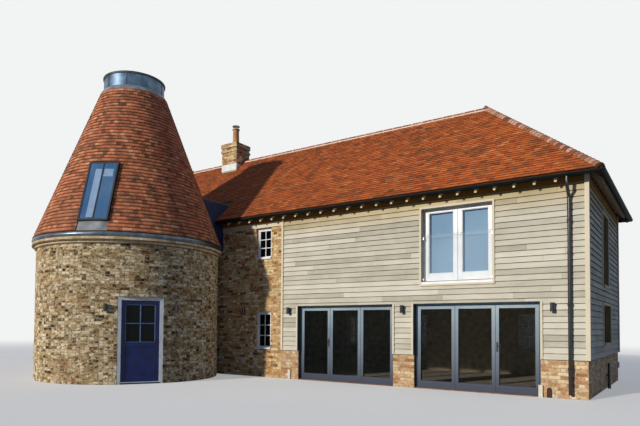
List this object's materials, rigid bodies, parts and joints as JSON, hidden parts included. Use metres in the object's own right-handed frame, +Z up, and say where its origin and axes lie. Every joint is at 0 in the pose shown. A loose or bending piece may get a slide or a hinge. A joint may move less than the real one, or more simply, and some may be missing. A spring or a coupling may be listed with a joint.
{
  "type": "oast house",
  "caption": "Converted oast house: a round brick kiln under a tall tiled cone roof, joined to a long hipped barn with weatherboarded walls and folding glass doors.",
  "frame": {"origin": "on the kiln's axis at ground level", "axes": "+X along the barn towards its boarded end, +Y from front to back, +Z up"},
  "size_m": [17.6166, 10.2312, 8.585],
  "materials": {
    "kiln_brick": "hand-made brick",
    "barn_brick": "hand-made brick",
    "cone_tiles": "plain clay tiles",
    "roof_tiles": "plain clay tiles",
    "ridge_clay": "clay",
    "weathered_oak": "sawn and weathered",
    "light_oak": "planed",
    "stone_floor": "sawn",
    "timber_floor": "satin",
    "zinc": "dull",
    "lead": "dull",
    "black_metal": "semi-gloss",
    "slate_blue_metal": "satin powder coat",
    "satin_metal": "satin",
    "white_paint": "painted",
    "navy_paint": "painted",
    "clear_glass": "polished",
    "pale_plastic": "matte"
  },
  "bodies": {
    "building": {"kiln_wall_left": "kiln_brick", "kiln_wall_back": "kiln_brick", "kiln_wall_right": "kiln_brick", "kiln_door_head": "kiln_brick", "kiln_corbels": "kiln_brick", "front_wall_left": "barn_brick", "front_piers": "barn_brick", "front_wall_upper": "barn_brick", "back_wall": "barn_brick", "end_walls": "barn_brick", "chimney_stack": "barn_brick", "kiln_cone": "cone_tiles", "roof_front": "roof_tiles", "roof_back": "roof_tiles", "roof_hips": "roof_tiles", "ridge_tiles": "ridge_clay", "hip_tiles": "ridge_clay", "chimney_pot": "ridge_clay", "front_boards": "weathered_oak", "right_boards": "weathered_oak", "back_boards": "weathered_oak", "oak_trim": "light_oak", "wall_plates": "light_oak", "rafter_feet": "light_oak", "ground_floors": "stone_floor", "upper_floor": "timber_floor", "kiln_eaves_band": "zinc", "kiln_drum": "zinc", "drum_cap": "zinc", "lead_link": "lead", "lead_flashing": "lead", "skylight_apron": "lead", "gutters": "black_metal", "downpipes": "black_metal", "wall_lamps": "black_metal", "chimney_cowl": "black_metal", "skylight_frame": "black_metal", "folding_frames": "slate_blue_metal", "folding_leaves": "slate_blue_metal", "folding_handles": "satin_metal", "door_hinges": "satin_metal", "casement_frame": "white_paint", "window_frames": "white_paint", "door_frame": "white_paint", "barn_glass": "clear_glass", "guard_glass": "clear_glass", "skylight_glass": "clear_glass", "wall_vents": "pale_plastic", "service_boxings": "pale_plastic"},
    "kiln_door": {"door_leaf": "navy_paint", "door_glass": "clear_glass", "door_furniture": "satin_metal"}
  },
  "joints": [
    {"name": "kiln_door_hinge", "type": "hinge", "parent": "building", "child": "kiln_door", "pos_m": [1.68708, -1.54627, 0.03], "axis": [0, 0, 1], "range_deg": [0, 90]}
  ]
}
